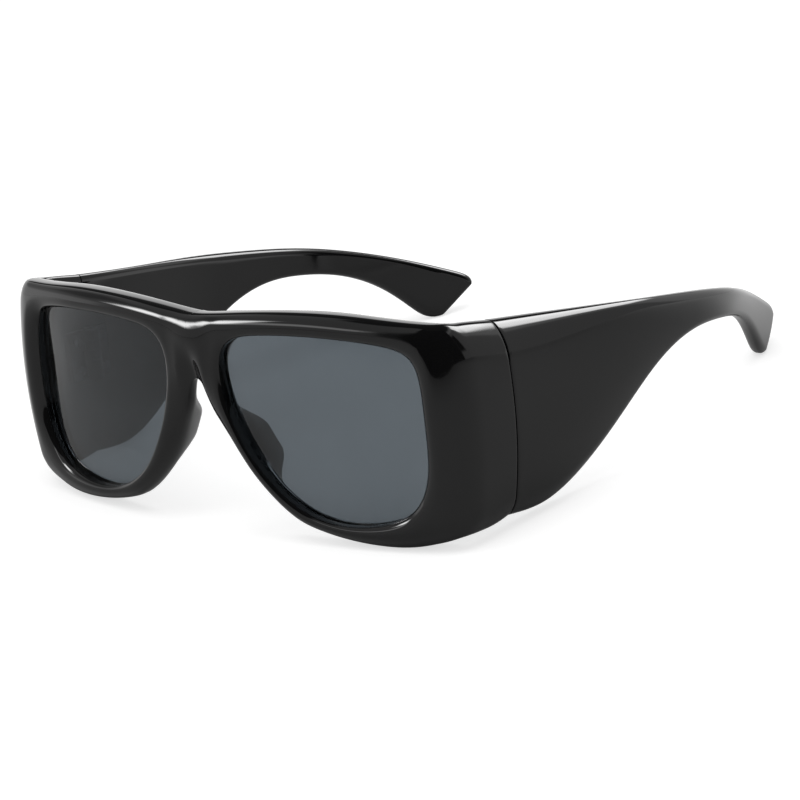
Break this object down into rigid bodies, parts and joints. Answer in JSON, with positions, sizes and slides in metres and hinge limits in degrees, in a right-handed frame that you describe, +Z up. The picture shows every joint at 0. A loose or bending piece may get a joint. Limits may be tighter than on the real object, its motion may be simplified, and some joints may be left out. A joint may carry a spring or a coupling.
{
  "type": "sunglasses",
  "caption": "Oversized wrap sunglasses with thick glossy rims, smoke lenses, moulded nose pads, wide side shields and temples that fold on screwed barrel hinges.",
  "frame": {"origin": "on the surface that the glasses stand on, in the middle of their width, under the front of the bridge", "axes": "+X to the wearer's left, +Y from the front to the temple tips, +Z up; the glasses lie open on the rims' undersides and the temple tips"},
  "size_m": [0.148, 0.1517, 0.0535],
  "materials": {
    "frame_plastic": "polished black",
    "lens": "polished smoke tint",
    "hinge_steel": "satin",
    "screw_steel": "bright"
  },
  "bodies": {
    "front": {"front_frame": "frame_plastic", "lens_left": "lens", "lens_right": "lens", "hinge_front_leaf_left": "hinge_steel", "hinge_front_leaf_right": "hinge_steel", "hinge_screw_left": "screw_steel", "hinge_screw_right": "screw_steel", "front_leaf_screws_left": "screw_steel", "front_leaf_screws_right": "screw_steel"},
    "left_temple": {"temple_left": "frame_plastic", "hinge_temple_leaf_left": "hinge_steel", "temple_leaf_screws_left": "screw_steel"},
    "right_temple": {"temple_right": "frame_plastic", "hinge_temple_leaf_right": "hinge_steel", "temple_leaf_screws_right": "screw_steel"}
  },
  "joints": [
    {"name": "left_temple_fold", "type": "hinge", "parent": "front", "child": "left_temple", "pos_m": [0.0636, 0.031, 0.02775], "axis": [0, 0.0953, 0.9954], "range_deg": [0, 86]},
    {"name": "right_temple_fold", "type": "hinge", "parent": "front", "child": "right_temple", "pos_m": [-0.0636, 0.031, 0.02775], "axis": [0, -0.0953, -0.9954], "range_deg": [0, 76]}
  ]
}
